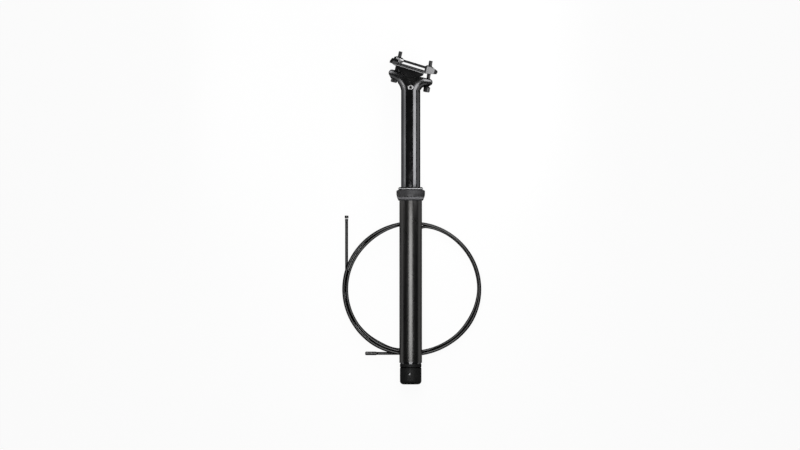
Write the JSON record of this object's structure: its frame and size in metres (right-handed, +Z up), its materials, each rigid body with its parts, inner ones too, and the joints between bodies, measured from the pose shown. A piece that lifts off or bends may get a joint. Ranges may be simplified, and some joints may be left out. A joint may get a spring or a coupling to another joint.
{
  "type": "dropper seatpost",
  "caption": "Telescoping bicycle seatpost with a gas-sprung upper tube, two-bolt saddle clamp, cable actuator at its foot and a coil of cable housing.",
  "frame": {"origin": "on the post's axis at the lower end of the lower tube; the part lies on a surface 28.5 mm below", "axes": "+Y up the post towards the saddle clamp, +X towards the front of the bicycle, +Z up from the surface it lies on, which is the left side of the post"},
  "size_m": [0.1946, 0.4642, 0.057],
  "materials": {
    "tube_black": "satin black anodised",
    "stanchion_black": "gloss black anodised",
    "collar_black": "satin black anodised",
    "head_black": "gloss black forged",
    "clamp_grey": "fine blasted grey",
    "cradle_black": "satin black",
    "bolt_black": "black oxide steel",
    "steel": "ground steel",
    "bare_aluminium": "turned aluminium",
    "brass": "turned brass",
    "seal_rubber": "grey seal rubber",
    "black_rubber": "black rubber",
    "foam": "open foam",
    "bushing": "bearing polymer",
    "actuator_black": "matt moulded black",
    "housing_black": "smooth extruded jacket",
    "ferrule_grey": "turned, dull",
    "ferrule_black": "moulded black"
  },
  "bodies": {
    "lower_post": {"lower_tube": "tube_black", "seal_collar": "collar_black", "wiper_seal": "seal_rubber", "foam_ring": "foam", "upper_bushing": "bushing", "base_plug": "bare_aluminium", "base_o_ring": "black_rubber", "actuator_housing": "actuator_black", "lever_pivot_pin": "steel", "cable_stop": "bolt_black", "piston_rod": "steel", "rod_nut": "steel", "piston": "brass", "housing_stub": "housing_black", "housing_coil": "housing_black", "housing_tail": "housing_black", "stub_ferrule": "ferrule_grey", "tail_ferrule": "ferrule_black"},
    "upper_post": {"stanchion": "stanchion_black", "seat_head": "head_black", "glide_bushing": "bushing", "key_pins": "brass", "gas_cylinder": "bare_aluminium", "cylinder_gland": "bare_aluminium", "cylinder_cap": "bare_aluminium", "cap_screw": "bolt_black"},
    "floating_piston": {"floating_piston": "brass"},
    "saddle_clamp": {"lower_cradle": "cradle_black", "upper_clamp": "clamp_grey"},
    "front_bolt": {"front_bolt": "bolt_black", "front_washer": "bolt_black"},
    "rear_bolt": {"rear_bolt": "bolt_black", "rear_washer": "bolt_black"},
    "front_nut": {"front_barrel_nut": "steel"},
    "rear_nut": {"rear_barrel_nut": "steel"},
    "lever": {"actuator_lever": "bare_aluminium", "cable_barrel": "brass", "barrel_screw": "bolt_black"},
    "valve_pin": {"valve_pin": "steel"}
  },
  "joints": [
    {"name": "post_slide", "type": "slide", "parent": "lower_post", "child": "upper_post", "axis": [0, 1, 0], "range_m": [-0.125, 0]},
    {"name": "floating_piston_slide", "type": "slide", "parent": "upper_post", "child": "floating_piston", "axis": [0, 1, 0], "range_m": [0, 0.0235]},
    {"name": "clamp_tilt", "type": "hinge", "parent": "upper_post", "child": "saddle_clamp", "pos_m": [0.005, 0.4238, 0], "axis": [0, 0, 1], "range_deg": [-6, 6]},
    {"name": "front_bolt_tilt", "type": "hinge", "parent": "upper_post", "child": "front_bolt", "pos_m": [0.02193, 0.37798, 0], "axis": [0, 0, 1], "range_deg": [-2.76, 2.76]},
    {"name": "front_nut_turn", "type": "hinge", "parent": "saddle_clamp", "child": "front_nut", "pos_m": [0.02636, 0.40765, 0], "axis": [0, 0, 1], "range_deg": [-8.76, 8.76]},
    {"name": "rear_bolt_tilt", "type": "hinge", "parent": "upper_post", "child": "rear_bolt", "pos_m": [-0.02332, 0.39154, 0], "axis": [0, 0, 1], "range_deg": [-1.76, 1.76]},
    {"name": "rear_nut_turn", "type": "hinge", "parent": "saddle_clamp", "child": "rear_nut", "pos_m": [-0.01658, 0.42078, 0], "axis": [0, 0, 1], "range_deg": [-7.76, 7.76]},
    {"name": "valve_lift", "type": "slide", "parent": "lower_post", "child": "valve_pin", "axis": [0, 1, 0], "range_m": [0, 0.00085], "stiffness_N_per_m": 2000},
    {"name": "lever_turn", "type": "hinge", "parent": "lower_post", "child": "lever", "pos_m": [-0.0014, -0.0167, 0], "axis": [0, 0, 1], "range_deg": [0, 35]}
  ],
  "couplings": [
    {"joint": "floating_piston_slide", "follows": "post_slide", "ratio": -0.18499},
    {"joint": "front_bolt_tilt", "follows": "clamp_tilt", "ratio": -0.42721},
    {"joint": "front_nut_turn", "follows": "clamp_tilt", "ratio": -1.4272},
    {"joint": "rear_bolt_tilt", "follows": "clamp_tilt", "ratio": -0.26},
    {"joint": "rear_nut_turn", "follows": "clamp_tilt", "ratio": -1.26},
    {"joint": "lever_turn", "follows": "valve_lift", "rad_per_m": 714.29}
  ]
}
